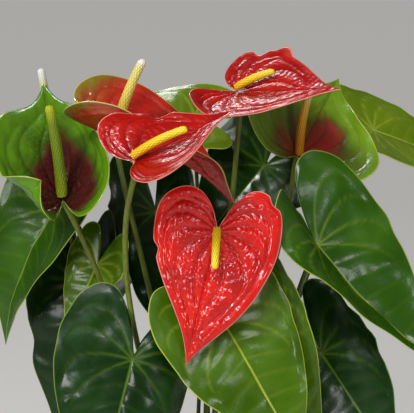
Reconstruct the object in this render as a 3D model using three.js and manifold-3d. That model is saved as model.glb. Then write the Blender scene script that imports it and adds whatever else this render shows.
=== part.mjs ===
// A potted anthurium in bloom: a nursery pot, the potting mix in it, and the plant's crown, leaves and flowers.
// Millimetres, +Z up. The origin is the centre of the pot's flat foot, and the plant's show side faces -Y.
import * as THREE from "three";
import { mergeVertices } from "three/addons/utils/BufferGeometryUtils.js";
import Module from "manifold-3d";

const wasm = await Module();
wasm.setup();

// Pot
const potHeight = 150;
const potTopRadius = 85;
const potFootRadius = 61;
const potWall = 2.2;
const potFloor = 3;
const rimBand = 14; // the height of the thickened band round the mouth
const rimStep = 2.5; // how far the band stands proud of the wall
const potSides = 40;
const drainHoles = 8;
const drainRadius = 5;
const drainCircle = 44; // the radius on which the drain holes lie

// Potting mix
const headspace = 18; // from the mix up to the rim, room for water
const mixGap = 0.4;
const mixTop = potHeight - headspace;

// Crown: the short stem that the leaf and flower stalks rise from
const crownRadius = 17;
const crownHeight = 10;
const crownSides = 16;

// Blades, which are the leaf blades and the spathes
const leafThickness = 1.2;
const spatheThickness = 1.4;
const halfSpokes = 10; // steps round the outline from the tip to the notch
const rings = 4;
const leafOutline = [
  [0, 1], [0.09, 0.87], [0.42, 0.63], [0.78, 0.37], [0.98, 0.1], [1, -0.1],
  [0.9, -0.3], [0.62, -0.43], [0.33, -0.38], [0.12, -0.2], [0, -0.04],
];
const spatheOutline = [
  [0, 1], [0.06, 0.9], [0.3, 0.69], [0.66, 0.43], [0.93, 0.17], [1, -0.03],
  [0.93, -0.2], [0.69, -0.34], [0.4, -0.35], [0.16, -0.22], [0, -0.03],
];

// Stalks and spadices
const petioleRadius = 2.3;
const peduncleRadius = 2.8;
const stalkSides = 6;
const stalkSteps = 9;
const spadixSides = 8;
const clearance = 0.35; // the gap kept between pieces that touch

// Before it is bent, a blade lies flat with its stalk's end at the origin, its tip along +Y and its upper face
// up +Z.
// at: where its stalk meets it.
// face: the azimuth and elevation that the upper face looks to, with 0, 0 along -Y and 90, 0 along +X.
// turn: how far the tip swings from straight down, counterclockwise seen from the face.
// fold: the angle that both halves rise at the midrib.
// cup: the further bend of the left and right halves, seen from the stalk towards the tip.
// tip, lobes: the bend towards the face of the front, and of the left and right lobes.
// twist: the turn about the midrib, from the stalk to the tip.
// lobeSize: how long the left and right lobes are, against a plain blade's.
// full: how much fuller than a plain blade's the fronts of the left and right halves are.
// wide: how wide the left and right halves are, against half of the blade's width.
// ruffle: the height of the edge's waves.
// root: the distance and azimuth from the pot's axis at which its stalk starts.
// rise: how far up the stalk starts out.
// under: the place, from the blade, that the stalk heads for before it turns up to meet the blade.
const flowers = [
  {
    name: "front", at: [14, -72, 499], face: [0, 14], turn: -13, length: 107, width: 104, fold: 4,
    cup: [-12, -12], tip: -8, lobes: [4, 4], lobeSize: [1, 0.8], full: [0.13, 0], ruffle: 1.2,
    root: [12, 5], rise: 170, under: [0, 110, 0],
    spadix: { length: 36, radius: 3.2, points: [-4, -40] },
  },
  {
    name: "middle", at: [-47, -105, 563], face: [-25, 60], turn: 141, length: 87, width: 92, fold: 10,
    cup: [50, 0], tip: 0, lobes: [-30, -10], lobeSize: [0.45, 0.45], ruffle: 1,
    root: [7, -40], rise: 130, under: [-45, 70, -130],
    spadix: { length: 46, radius: 3.3, points: [75, 28] },
  },
  {
    name: "rear_left", at: [-70, -20, 568], face: [53, 75], turn: 36, length: 121, width: 116, fold: 36,
    cup: [10, 0], tip: -38, lobes: [10, 10], twist: -12, ruffle: 1,
    root: [7, -100], rise: 200, under: [8, 40, -80],
    spadix: { length: 64, radius: 4.2, points: [80, 68] },
  },
  {
    name: "top", at: [34, 5, 602], face: [-48, 63], turn: 101, length: 98, width: 98, fold: 6,
    cup: [20, 0], tip: 0, lobes: [0, 55], lobeSize: [0.8, 1], full: [0.05, 0.14], ruffle: 1.5,
    root: [6, 100], rise: 230, under: [-4, 16, -80],
    spadix: { length: 34, radius: 3.2, points: [72, 24] },
  },
  {
    name: "right", at: [85, 35, 543], face: [26, 43], turn: 137, length: 106, width: 146, fold: 20,
    cup: [20, 20], tip: 0, lobes: [10, 10], lobeSize: [0.7, 0.7], ruffle: 1,
    root: [14, 105], rise: 190, under: [-5, 20, -80],
    spadix: { length: 52, radius: 3.8, points: [50, 80] },
  },
  {
    name: "left", at: [-112, -41, 521], face: [-2, 47], turn: 193, length: 140, width: 112, fold: 26,
    cup: [20, 30], tip: -12, lobes: [45, 45], ruffle: 1,
    root: [14, -62], rise: 150, under: [28, 8, -60],
    spadix: { length: 74, radius: 4.6, points: [-35, 80] },
  },
  {
    name: "back_left", at: [-137, 88, 534], face: [0, 77], turn: -90, length: 96, width: 96, fold: 14,
    cup: [15, 15], tip: -10, lobes: [10, 10], ruffle: 1,
    root: [14, -105], rise: 190, under: [30, -10, -90],
    spadix: { length: 76, radius: 4, points: [-80, 85] },
  },
];

const leaves = [
  {
    name: "left_upper", at: [-125, 18, 497], face: [-36, 31], turn: -21, length: 135, width: 108,
    fold: 22, cup: [0, 0], tip: -40, lobes: [0, 0], ruffle: 1.5,
    root: [27, -72], rise: 130, under: [30, -5, -50],
  },
  {
    name: "left_lower", at: [-112, 50, 425], face: [-26, 15], turn: -4, length: 160, width: 90, fold: 16,
    cup: [0, 0], tip: -20, lobes: [0, 0], ruffle: 2,
    root: [27, -112], rise: 110, under: [30, 10, -40],
  },
  {
    name: "young", at: [-89, 2, 452], face: [-20, 19], turn: -17, length: 80, width: 54, fold: 10,
    cup: [0, 0], tip: -10, lobes: [0, 0], ruffle: 1,
    root: [27, -50], rise: 120, under: [20, 10, -50],
  },
  {
    name: "middle_left", at: [-40, 52, 488], face: [-10, 13], turn: 8, length: 140, width: 80, fold: 12,
    cup: [0, 0], tip: -20, lobes: [0, 0], ruffle: 2,
    root: [27, -132], rise: 150, under: [5, 20, -50],
  },
  {
    name: "front_left", at: [-55, -66, 390], face: [-9, 19], turn: -12, length: 152, width: 128,
    lobeSize: [1, 0.84], fold: 6, cup: [-88, 0], tip: -25, lobes: [-60, 0], ruffle: 1.5,
    root: [26, -25], rise: 110, under: [5, 30, -50],
  },
  {
    name: "front_middle", at: [18, -64, 423], face: [9, 25], turn: 28, length: 150, width: 114, fold: 6,
    cup: [0, 0], tip: -20, lobes: [0, 0], lobeSize: [0.75, 0.75], ruffle: 1.5,
    root: [26, 8], rise: 120, under: [0, 30, -50],
  },
  {
    name: "front_right", at: [47, -38, 422], face: [-5, 10], turn: 26, length: 150, width: 78, fold: 6,
    cup: [0, 0], tip: -20, lobes: [0, 0], ruffle: 1.5,
    root: [27, 32], rise: 120, under: [0, 30, -50],
  },
  {
    name: "right_upper", at: [97, -40, 480], face: [40, 33], turn: 21, length: 165, width: 132,
    wide: [1, 0.6], lobeSize: [0.94, 0.95], fold: 28, cup: [0, 0], tip: 30, lobes: [0, 50], ruffle: 1.5,
    root: [27, 54], rise: 130, under: [-20, 45, -60],
  },
  {
    name: "right_lower", at: [106, 0, 373], face: [-6, 20], turn: 35, length: 140, width: 92, fold: 10,
    cup: [-5, -5], tip: -15, lobes: [0, 0], ruffle: 2,
    root: [27, 88], rise: 90, under: [-25, 10, -40],
  },
  {
    name: "rear_middle", at: [58, 95, 522], face: [-5, 22], turn: -38, length: 130, width: 104, fold: 8,
    cup: [-8, -8], tip: -10, lobes: [-5, -5], ruffle: 2,
    root: [27, 145], rise: 200, under: [0, 30, -50],
  },
  {
    name: "rear_top", at: [-6, 114, 565], face: [-4, 60], turn: -109, length: 110, width: 92, fold: 8,
    cup: [-10, -10], tip: -20, lobes: [-10, -10], ruffle: 2,
    root: [27, 165], rise: 220, under: [0, 10, -60],
  },
  {
    name: "rear_right", at: [163, 130, 550], face: [38, 55], turn: 55, length: 130, width: 96, fold: 12,
    cup: [-5, -5], tip: -20, lobes: [-5, -5], ruffle: 2,
    root: [27, 112], rise: 200, under: [-35, 0, -60],
  },
  {
    name: "back_left", at: [-90, 122, 402], face: [-140, 45], turn: 0, length: 145, width: 100, fold: 10,
    cup: [0, 0], tip: -25, lobes: [0, 0], ruffle: 2,
    root: [27, -150], rise: 140, under: [10, -15, -60],
  },
  {
    name: "back_middle", at: [2, 140, 395], face: [178, 42], turn: 0, length: 155, width: 112, fold: 10,
    cup: [0, 0], tip: -25, lobes: [0, 0], ruffle: 2,
    root: [27, -172], rise: 130, under: [0, -20, -60],
  },
  {
    name: "back_right", at: [97, 128, 332], face: [135, 45], turn: 0, length: 145, width: 104, fold: 10,
    cup: [0, 0], tip: -25, lobes: [0, 0], ruffle: 2,
    root: [27, 128], rise: 120, under: [-15, -10, -60],
  },
  {
    name: "low_left", at: [-108, 20, 270], face: [-85, 42], turn: 0, length: 125, width: 96, fold: 10,
    cup: [0, 0], tip: -25, lobes: [0, 0], ruffle: 2,
    root: [27, -93], rise: 50, under: [25, 0, -30],
  },
  {
    name: "low_right", at: [108, 5, 255], face: [85, 42], turn: 0, length: 120, width: 92, fold: 10,
    cup: [0, 0], tip: -25, lobes: [0, 0], ruffle: 2,
    root: [27, 71], rise: 45, under: [-25, 0, -30],
  },
];

// The outline of a whole blade as evenly spaced points, in half widths and lengths: down the left side from the
// tip to the notch, and back up the right side.
function wholeOutline(halfOutline) {
  const curve = new THREE.SplineCurve(halfOutline.map(([x, y]) => new THREE.Vector2(x, y)));
  const right = curve.getSpacedPoints(halfSpokes);
  const left = right.map((p) => new THREE.Vector2(-p.x, p.y));
  return [...left, ...right.slice(1, -1).reverse()];
}

// The unit vector at an azimuth, measured from -Y towards +X, and an elevation.
function direction([azimuth, elevation]) {
  const a = THREE.MathUtils.degToRad(azimuth);
  const e = THREE.MathUtils.degToRad(elevation);
  return new THREE.Vector3(Math.sin(a) * Math.cos(e), -Math.cos(a) * Math.cos(e), Math.sin(e));
}

// An arc that starts at the given angle and turns steadily: where it is after a distance, and its angle there.
function arc(distance, startAngle, turnPerMm) {
  const angle = startAngle + turnPerMm * distance;
  if (Math.abs(turnPerMm) < 1e-6)
    return { along: distance * Math.cos(startAngle), up: distance * Math.sin(startAngle), angle };
  return {
    along: (Math.sin(angle) - Math.sin(startAngle)) / turnPerMm,
    up: (Math.cos(startAngle) - Math.cos(angle)) / turnPerMm,
    angle,
  };
}

// Where a point of the flat blade goes when the blade is folded, cupped, bent and twisted. offset is how far above the
// middle of the blade's thickness the point lies.
function bentPoint(blade, x, y, offset) {
  const rad = THREE.MathUtils.degToRad;
  const side = x < 0 ? -1 : 1;
  const halfWidth = blade.width / 2;
  const cup = blade.cup[side < 0 ? 0 : 1];
  const across = arc(Math.abs(x), x === 0 ? 0 : rad(blade.fold), rad(cup) / halfWidth);
  const edge = Math.min(1, Math.hypot(x / halfWidth, y / blade.length));
  const wave = blade.ruffle * edge ** 3 * Math.sin((7 * y) / blade.length + 2.1 * side);
  const lift = across.up + wave + offset * Math.cos(across.angle);
  const sideways = side * across.along - side * offset * Math.sin(across.angle);

  const lobe = y < 0;
  const lobeBend = x === 0 ? (blade.lobes[0] + blade.lobes[1]) / 2 : blade.lobes[side < 0 ? 0 : 1];
  const bend = lobe ? rad(lobeBend) / (0.4 * blade.length) : rad(blade.tip) / blade.length;
  const along = arc(Math.abs(y), 0, bend);
  const forward = lobe ? -1 : 1;
  const point = new THREE.Vector3(
    sideways,
    forward * (along.along - lift * Math.sin(along.angle)),
    along.up + lift * Math.cos(along.angle),
  );
  return point.applyAxisAngle(new THREE.Vector3(0, 1, 0), rad(blade.twist ?? 0) * (y / blade.length));
}

// The turn from a blade's own axes to its place on the plant.
function bladeAxes(blade) {
  const face = direction(blade.face);
  const down = new THREE.Vector3(0, 0, -1).projectOnPlane(face).normalize();
  const toTip = down.applyAxisAngle(face, THREE.MathUtils.degToRad(blade.turn));
  return new THREE.Matrix4().makeBasis(new THREE.Vector3().crossVectors(toTip, face), toTip, face);
}

// A thin closed disc, with rings and spokes, is drawn out to the blade's outline and bent to shape.
function bladeGeometry(blade, halfOutline, thickness) {
  const outline = wholeOutline(halfOutline);
  const profile = [];
  for (let ring = 0; ring <= rings; ring++) profile.push(new THREE.Vector2(ring / rings, -1));
  for (let ring = rings; ring >= 0; ring--) profile.push(new THREE.Vector2(ring / rings, 1));
  const disc = new THREE.LatheGeometry(profile, outline.length);
  const places = disc.getAttribute("position");
  for (let i = 0; i < places.count; i++) {
    const share = Math.hypot(places.getX(i), places.getZ(i));
    const turn = Math.atan2(places.getX(i), places.getZ(i)) / (2 * Math.PI);
    const spoke = Math.round((turn + 1) * outline.length) % outline.length;
    const flat = outline[spoke];
    const side = flat.x < 0 ? 0 : 1;
    const lobeSize = blade.lobeSize?.[side] ?? 1;
    const full = blade.full?.[side] ?? 0;
    const front = flat.y < 0 ? flat.y * lobeSize : flat.y + 4 * full * flat.y * (1 - flat.y);
    const y = share * front * blade.length;
    const x = (share * flat.x * blade.width * (blade.wide?.[side] ?? 1)) / 2;
    const p = bentPoint(blade, x, y, (places.getY(i) * thickness) / 2);
    places.setXYZ(i, p.x, p.y, p.z);
  }
  disc.deleteAttribute("normal");
  disc.deleteAttribute("uv");
  return mergeVertices(disc, 1e-3);
}

// The stalk's root, on the crown or in the mix beside it.
function rootOf(blade) {
  const [distance, azimuth] = blade.root;
  const onCrown = distance < crownRadius;
  return direction([azimuth, 0]).multiplyScalar(distance).setZ(mixTop + (onCrown ? crownHeight : 0) + clearance);
}

// A round stalk along a curve, from the crown up to the back of its blade.
function stalkGeometry(blade, radius, thickness) {
  const face = direction(blade.face);
  const under = new THREE.Vector3(...blade.under);
  const slant = Math.sin(under.angleTo(face.clone().negate()));
  const drop = thickness / 2 + clearance + backSag(blade, radius) + radius * slant;
  const start = rootOf(blade);
  const spread = 0.8 * blade.root[0];
  start.z += (radius * spread) / Math.hypot(spread, blade.rise);
  const end = new THREE.Vector3(...blade.at).addScaledVector(face, -drop);
  const first = start.clone().multiplyScalar(1.8).setZ(start.z + blade.rise);
  const path = new THREE.CubicBezierCurve3(start, first, end.clone().add(under), end);
  const circle = new THREE.Shape().absarc(0, 0, radius, 0, 2 * Math.PI).getPoints(stalkSides);
  const section = new THREE.Shape(circle.slice(0, -1));
  return new THREE.ExtrudeGeometry(section, { steps: stalkSteps, extrudePath: path });
}

// How far the blade's back dips, or its face rises, within a radius of the stalk's end.
function backSag(blade, radius) {
  const angles = blade.cup.map((cup) => THREE.MathUtils.degToRad(blade.fold + (cup * radius) / blade.width));
  const slopes = angles.map((angle) => Math.sin(angle));
  return radius * Math.max(0, ...slopes.map((s) => -s)) + 0.1;
}
function faceRise(blade, radius) {
  const slope = Math.sin(THREE.MathUtils.degToRad(blade.fold + (Math.max(...blade.cup) * radius) / blade.width));
  return radius * Math.max(0, slope) + 0.2;
}

// The spadix: a finger with a round end, standing on the face of the spathe.
function spadixGeometry({ length, radius }) {
  const stations = [[0, 0], [0.86, 0], [1, 0.12], [0.98, 0.45], [0.88, 0.8], [0.62, 0.95], [0, 1]];
  const profile = stations.map(([r, z]) => new THREE.Vector2(r * radius, z * length));
  const finger = new THREE.LatheGeometry(profile, spadixSides);
  finger.deleteAttribute("normal");
  finger.deleteAttribute("uv");
  return finger;
}

function solidOf(geometry) {
  const bare = geometry.clone();
  bare.deleteAttribute("normal");
  bare.deleteAttribute("uv");
  const merged = mergeVertices(bare, 1e-4);
  const vertProperties = merged.getAttribute("position").array;
  const triVerts = new Uint32Array(merged.index.array);
  return new wasm.Manifold(new wasm.Mesh({ numProp: 3, vertProperties, triVerts }));
}

function geometryOf(solid) {
  const mesh = solid.getMesh();
  return new THREE.BufferGeometry()
    .setAttribute("position", new THREE.BufferAttribute(mesh.vertProperties, 3))
    .setIndex(new THREE.BufferAttribute(mesh.triVerts, 1));
}

// The outer wall's radius at a height.
const wallRadius = (z) => potFootRadius + ((potTopRadius - rimStep - potFootRadius) * z) / potHeight;

function upright(profile, sides) {
  return new THREE.LatheGeometry(profile.map(([r, z]) => new THREE.Vector2(r, z)), sides).rotateX(Math.PI / 2);
}

function potGeometry() {
  const bandFoot = potHeight - rimBand;
  const shell = upright([
    [0, 0], [potFootRadius, 0], [wallRadius(bandFoot), bandFoot], [wallRadius(bandFoot) + rimStep, bandFoot],
    [potTopRadius, potHeight], [potTopRadius - rimStep, potHeight], [wallRadius(potFloor) - potWall, potFloor],
    [0, potFloor],
  ], potSides);
  let pot = solidOf(shell);
  for (let i = 0; i < drainHoles; i++) {
    const angle = ((i + 0.5) * 2 * Math.PI) / drainHoles;
    const hole = new THREE.CylinderGeometry(drainRadius, drainRadius, potFloor * 3, 12)
      .rotateX(Math.PI / 2)
      .translate(drainCircle * Math.cos(angle), drainCircle * Math.sin(angle), potFloor / 2);
    pot = pot.subtract(solidOf(hole));
  }
  return geometryOf(pot);
}

// The mix fills the pot from its floor to the headspace, a small gap inside the wall.
function mixGeometry() {
  const innerRadius = (z) => {
    const floorRadius = wallRadius(potFloor) - potWall;
    return floorRadius + ((potTopRadius - rimStep - floorRadius) * (z - potFloor)) / (potHeight - potFloor);
  };
  const bottom = potFloor + mixGap;
  return upright([
    [0, bottom],
    [innerRadius(bottom) - 2 * mixGap, bottom],
    [innerRadius(mixTop) - 2 * mixGap, mixTop],
    [0, mixTop],
  ], potSides);
}

function crownGeometry() {
  const foot = mixTop + clearance;
  return upright([
    [0, foot], [crownRadius + 2, foot], [crownRadius, mixTop + crownHeight], [0, mixTop + crownHeight],
  ], crownSides);
}

const plastic = new THREE.MeshStandardMaterial({ color: "#6f4a38", roughness: 0.55, metalness: 0 });
const peat = new THREE.MeshStandardMaterial({ color: "#3a291f", roughness: 0.95, metalness: 0 });
const leafGreen = new THREE.MeshStandardMaterial({ color: "#2c6b1c", roughness: 0.35, metalness: 0 });
const stalkGreen = new THREE.MeshStandardMaterial({ color: "#6f7f1c", roughness: 0.5, metalness: 0 });
const spatheRed = new THREE.MeshStandardMaterial({ color: "#d01410", roughness: 0.25, metalness: 0 });
const spatheFading = new THREE.MeshStandardMaterial({ color: "#b4502c", roughness: 0.3, metalness: 0 });
const spatheGreen = new THREE.MeshStandardMaterial({ color: "#4a6a1c", roughness: 0.3, metalness: 0 });
const spadixYellow = new THREE.MeshStandardMaterial({ color: "#e6c81e", roughness: 0.5, metalness: 0 });
const spatheMaterials = { rear_left: spatheFading, right: spatheGreen, left: spatheGreen, back_left: spatheGreen };

const plant = new THREE.Group();

function add(name, geometry, material) {
  const mesh = new THREE.Mesh(geometry, material);
  mesh.name = name;
  plant.add(mesh);
  return mesh;
}

function placeBlade(mesh, blade) {
  mesh.quaternion.setFromRotationMatrix(bladeAxes(blade));
  mesh.position.set(...blade.at);
}

add("pot", potGeometry(), plastic);
add("potting_mix", mixGeometry(), peat);
add("crown", crownGeometry(), stalkGreen);

for (const leaf of leaves) {
  placeBlade(add("leaf_" + leaf.name, bladeGeometry(leaf, leafOutline, leafThickness), leafGreen), leaf);
  add("petiole_" + leaf.name, stalkGeometry(leaf, petioleRadius, leafThickness), stalkGreen);
}

for (const flower of flowers) {
  const material = spatheMaterials[flower.name] ?? spatheRed;
  placeBlade(add("spathe_" + flower.name, bladeGeometry(flower, spatheOutline, spatheThickness), material), flower);
  add("peduncle_" + flower.name, stalkGeometry(flower, peduncleRadius, spatheThickness), stalkGreen);

  const spadix = add("spadix_" + flower.name, spadixGeometry(flower.spadix), spadixYellow);
  const face = direction(flower.face);
  const points = direction(flower.spadix.points);
  const lean = Math.sin(face.angleTo(points));
  const radius = flower.spadix.radius;
  const rise = spatheThickness / 2 + clearance + faceRise(flower, radius) + radius * lean;
  spadix.quaternion.setFromUnitVectors(new THREE.Vector3(0, 1, 0), points);
  spadix.position.set(...flower.at).addScaledVector(face, rise);
}

export default plant;
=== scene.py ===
import math
import random

import bmesh
import bpy
import numpy as np
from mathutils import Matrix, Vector


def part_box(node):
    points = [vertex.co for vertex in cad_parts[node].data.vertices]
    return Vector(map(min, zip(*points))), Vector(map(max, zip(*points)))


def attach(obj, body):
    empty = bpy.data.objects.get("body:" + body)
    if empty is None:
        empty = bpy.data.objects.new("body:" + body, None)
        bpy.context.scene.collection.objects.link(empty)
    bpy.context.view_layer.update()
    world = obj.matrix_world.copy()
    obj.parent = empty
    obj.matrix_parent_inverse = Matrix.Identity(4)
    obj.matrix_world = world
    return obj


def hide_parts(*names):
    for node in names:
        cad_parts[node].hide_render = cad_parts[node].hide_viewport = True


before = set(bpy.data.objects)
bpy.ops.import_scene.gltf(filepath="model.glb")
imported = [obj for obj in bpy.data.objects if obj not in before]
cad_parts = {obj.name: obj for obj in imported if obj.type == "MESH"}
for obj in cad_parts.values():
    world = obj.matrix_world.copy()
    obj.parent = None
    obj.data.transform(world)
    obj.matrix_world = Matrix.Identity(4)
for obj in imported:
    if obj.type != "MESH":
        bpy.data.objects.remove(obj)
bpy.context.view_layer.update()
mm = 0.001

# camera, which stands in front of the blooms and looks a little down on them
camera = {"place": (0.006, -1.076, 0.733), "tilt": 78, "lens": 112.5, "sensor": 36}

bpy.ops.object.select_all(action="DESELECT")
bpy.ops.object.camera_add(location=camera["place"], rotation=(math.radians(camera["tilt"]), 0, 0))
bpy.context.object.name = "camera"
bpy.context.object.data.lens = camera["lens"]
bpy.context.object.data.sensor_width = camera["sensor"]
bpy.context.scene.camera = bpy.context.object
bpy.context.scene.view_settings.view_transform = "Standard"  # keeps the reds as deep as they are


def linearColor(hexCode):
    channels = [int(hexCode[i:i + 2], 16) / 255 for i in (1, 3, 5)]
    return [c / 12.92 if c <= 0.04045 else ((c + 0.055) / 1.055) ** 2.4 for c in channels] + [1]


# sets a node's inputs, each to a number or linked to another node's output
def setInputs(material, node, values):
    for name, value in values.items():
        if isinstance(value, bpy.types.NodeSocket):
            material.node_tree.links.new(value, node.inputs[name])
        else:
            node.inputs[name].default_value = value


# adds a node: settings are its own properties, and values are its inputs
def addNode(material, kind, values=None, **settings):
    made = material.node_tree.nodes.new("ShaderNode" + kind)
    for name, value in settings.items():
        setattr(made, name, value)
    setInputs(material, made, values or {})
    return made


def newMaterial(name):
    material = bpy.data.materials.new(name)
    material.use_nodes = True
    return material, material.node_tree.nodes["Principled BSDF"]


def setStops(ramp, stops):
    for i, (place, hexCode) in enumerate(stops):
        element = ramp.color_ramp.elements[i] if i < 2 else ramp.color_ramp.elements.new(place)
        element.position = place
        element.color = linearColor(hexCode)


# a smooth run of count points through the given ones, along the first axis
def smoothRun(points, count):
    last = len(points) - 1
    places = np.linspace(0, last, count)
    start = np.minimum(places.astype(int), last - 1)
    t = (places - start).reshape((-1,) + (1,) * (points.ndim - 1))
    padded = np.concatenate([2 * points[:1] - points[1:2], points, 2 * points[-1:] - points[-2:-1]])
    a, b, c, d = (padded[start + i] for i in range(4))
    return b + 0.5 * t * (c - a + t * (2 * a - 5 * b + 4 * c - d + t * (3 * (b - c) + d - a)))


# the CAD node's solid with its corners merged, as a bmesh
def solidOf(node):
    solid = bmesh.new()
    solid.from_mesh(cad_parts[node].data)
    bmesh.ops.remove_doubles(solid, verts=solid.verts, dist=0.01 * mm)
    return solid


# the rings of corners around a pole, each as a set, out to count rings
def ringsAround(pole, count):
    seen = {pole}
    ring = {pole}
    found = []
    for _ in range(count):
        ring = {e.other_vert(v) for v in ring for e in v.link_edges} - seen
        seen |= ring
        found.append(ring)
    return found


# the corners of a ring in order, from the one furthest from the pole and round by its left
def inOrder(ring, pole, face):
    first = max(ring, key=lambda v: (v.co - pole.co).length)
    beside = [e.other_vert(first) for e in first.link_edges if e.other_vert(first) in ring]
    turn = [(first.co - pole.co).cross(v.co - pole.co).dot(face) for v in beside]
    order = [first, beside[turn.index(max(turn))]]
    while len(order) < len(ring):
        order.append(next(
            e.other_vert(order[-1]) for e in order[-1].link_edges
            if e.other_vert(order[-1]) in ring and e.other_vert(order[-1]) not in order
        ))
    return order


cadSpokes = 20  # the spokes and rings of a blade's mesh in the frame
cadRings = 4
tipToNotch = cadSpokes // 2


# the middle of a CAD blade's thickness, as an array of rings by spokes, with the direction that its face looks in
def readBlade(node, stalkTop):
    solid = solidOf(node)
    poles = [v for v in solid.verts if len(v.link_edges) == cadSpokes]
    poles.sort(key=lambda v: (v.co - stalkTop).length)
    face = (poles[-1].co - poles[0].co).normalized()
    sheets = []
    for pole in poles:
        rows = [[pole.co[:]] * cadSpokes]
        rows += [[v.co[:] for v in inOrder(ring, pole, face)] for ring in ringsAround(pole, cadRings)]
        sheets.append(np.array(rows))
    solid.free()
    return (sheets[0] + sheets[1]) / 2, np.array(face)


# where each point of a blade lies when the blade is spread flat, in mm, with the tip along +Y and the stalk at 0, 0
def spreadFlat(grid):
    steps = np.linalg.norm(np.diff(grid, axis=0), axis=2)
    reach = np.concatenate([np.zeros((1, cadSpokes)), np.cumsum(steps, axis=0)]) / mm
    spokes = grid[1] - grid[0]
    spokes /= np.linalg.norm(spokes, axis=1)[:, None]
    between = np.arccos(np.clip((spokes * np.roll(spokes, -1, axis=0)).sum(1), -1, 1))
    left, right = between[:tipToNotch], between[tipToNotch:]
    angles = np.zeros(cadSpokes)
    angles[1:tipToNotch + 1] = np.cumsum(left) * math.pi / left.sum()
    angles[tipToNotch + 1:] = math.pi + np.cumsum(right[:-1]) * math.pi / right.sum()
    return np.stack([-reach * np.sin(angles), reach * np.cos(angles)], axis=2)


# the middle line of a CAD stalk, from its root up
def readStalk(node):
    solid = solidOf(node)
    lowest = min(solid.verts, key=lambda v: v.co.z)
    cap = {min(lowest.link_faces, key=lambda f: f.normal.z)}
    grown = True
    while grown:
        more = {
            other for f in cap for e in f.edges for other in e.link_faces
            if other not in cap and other.normal.dot(f.normal) > 0.999
        }
        cap |= more
        grown = bool(more)
    seen = {v for f in cap for v in f.verts}
    ring = set(seen)
    line = []
    while ring:
        line.append(np.mean([v.co[:] for v in ring], axis=0))
        ring = {e.other_vert(v) for v in ring for e in v.link_edges} - seen
        seen |= ring
    solid.free()
    return np.array(line)


# gives the object that was just added its name
def nameAdded(name):
    piece = bpy.context.object
    piece.name = name
    piece.data.name = name
    return piece


# a grid of rows by columns given as an array of places, made a mesh; tip and stalk seams are merged
def meshFromGrid(name, places, marks, flat=None):
    rows, columns = places.shape[:2]
    bpy.ops.mesh.primitive_grid_add(x_subdivisions=columns - 1, y_subdivisions=rows - 1, size=0.1)
    piece = nameAdded(name)
    piece.data.vertices.foreach_set("co", places.reshape(-1).astype(np.float32))
    for mark, values in marks.items():
        piece.data.attributes.new(mark, "FLOAT", "POINT").data.foreach_set("value", values.reshape(-1))
    if flat is not None:
        corners = np.zeros(len(piece.data.loops), np.int32)
        piece.data.loops.foreach_get("vertex_index", corners)
        piece.data.uv_layers.active.name = "flat"
        piece.data.uv_layers["flat"].data.foreach_set("uv", flat.reshape(-1, 2)[corners].reshape(-1))
    bpy.ops.object.mode_set(mode="EDIT")
    bpy.ops.mesh.select_all(action="SELECT")
    bpy.ops.mesh.remove_doubles(threshold=0.002 * mm)
    bpy.ops.object.mode_set(mode="OBJECT")
    return piece


def vertexNormals(piece):
    normals = np.zeros(len(piece.data.vertices) * 3, np.float32)
    piece.data.vertex_normals.foreach_get("vector", normals)
    return normals.reshape(-1, 3)


def selectOnly(piece):
    bpy.ops.object.select_all(action="DESELECT")
    piece.select_set(True)
    bpy.context.view_layer.objects.active = piece


# turns the faces of the active closed mesh outwards
def faceOutwards():
    bpy.ops.object.mode_set(mode="EDIT")
    bpy.ops.mesh.select_all(action="SELECT")
    bpy.ops.mesh.normals_make_consistent(inside=False)
    bpy.ops.object.mode_set(mode="OBJECT")


# gives a piece its materials, rides it on the plant, and lets it stand for its CAD node
def finishPiece(piece, materials, slot, *replaced):
    piece.data.materials.clear()
    for material in materials:
        piece.data.materials.append(material)
    selectOnly(piece)
    bpy.ops.object.shade_smooth()
    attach(piece, "root")
    if replaced:
        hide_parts(*replaced)
    piece.select_set(False)


# how far in mm the edge of one half of the flat blade is from the stalk, as a function of the angle from the tip
def edgeReach(flat, half):
    edge = flat[-1][np.sign(flat[-1][:, 0] + half * 1e-6) == half]
    angles = np.arctan2(np.abs(edge[:, 0]), edge[:, 1])
    order = np.argsort(angles)
    reach = np.linalg.norm(edge, axis=1)
    return lambda angle: np.interp(angle, angles[order], reach[order])


# the midrib, as far as a share of the way to the tip
def midribLine(flat, share, count):
    return np.stack([np.zeros(count), np.linspace(0, share * flat[-1, 0, 1], count)], axis=1)


# how far each point of the flat blade is from its edge, in mm
def edgeGaps(flat, share):
    return ((1 - share) * np.linalg.norm(flat[-1], axis=1)[None]).reshape(-1)


# veins that leave the stalk at an angle, then turn to run beside the edge towards the tip
def archingVeins(reachAt, side, table):
    lines = []
    for startAngle, share, endAngle, turn in table:
        angle = np.radians(np.linspace(startAngle, endAngle, 60))
        out = share * (1 - np.exp(-(math.radians(startAngle) - angle) / math.radians(turn)))
        radius = out * reachAt(angle)
        lines.append(np.stack([side * radius * np.sin(angle), radius * np.cos(angle)], axis=1))
    return lines


# veins that leave the midrib and arch forward to the edge
def sideVeins(reachAt, side, length, table):
    lines = []
    for start, endAngle, share in table:
        angle = math.radians(endAngle)
        radius = share * reachAt(angle)
        root = np.array([0, start * length])
        end = np.array([side * radius * math.sin(angle), radius * math.cos(angle)])
        bend = np.array([side * radius * math.sin(angle) * 0.6, root[1] + (end[1] - root[1]) * 0.35])
        t = np.linspace(0, 1, 40)[:, None]
        lines.append(root * (1 - t) ** 2 + 2 * bend * t * (1 - t) + end * t ** 2)
    return lines


def distanceToSegments(points, starts, ends):
    run = ends - starts
    t = ((points - starts) * run).sum(1) / np.maximum((run * run).sum(1), 1e-9)
    return np.linalg.norm(points - starts - np.clip(t, 0, 1)[:, None] * run, axis=1)


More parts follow.
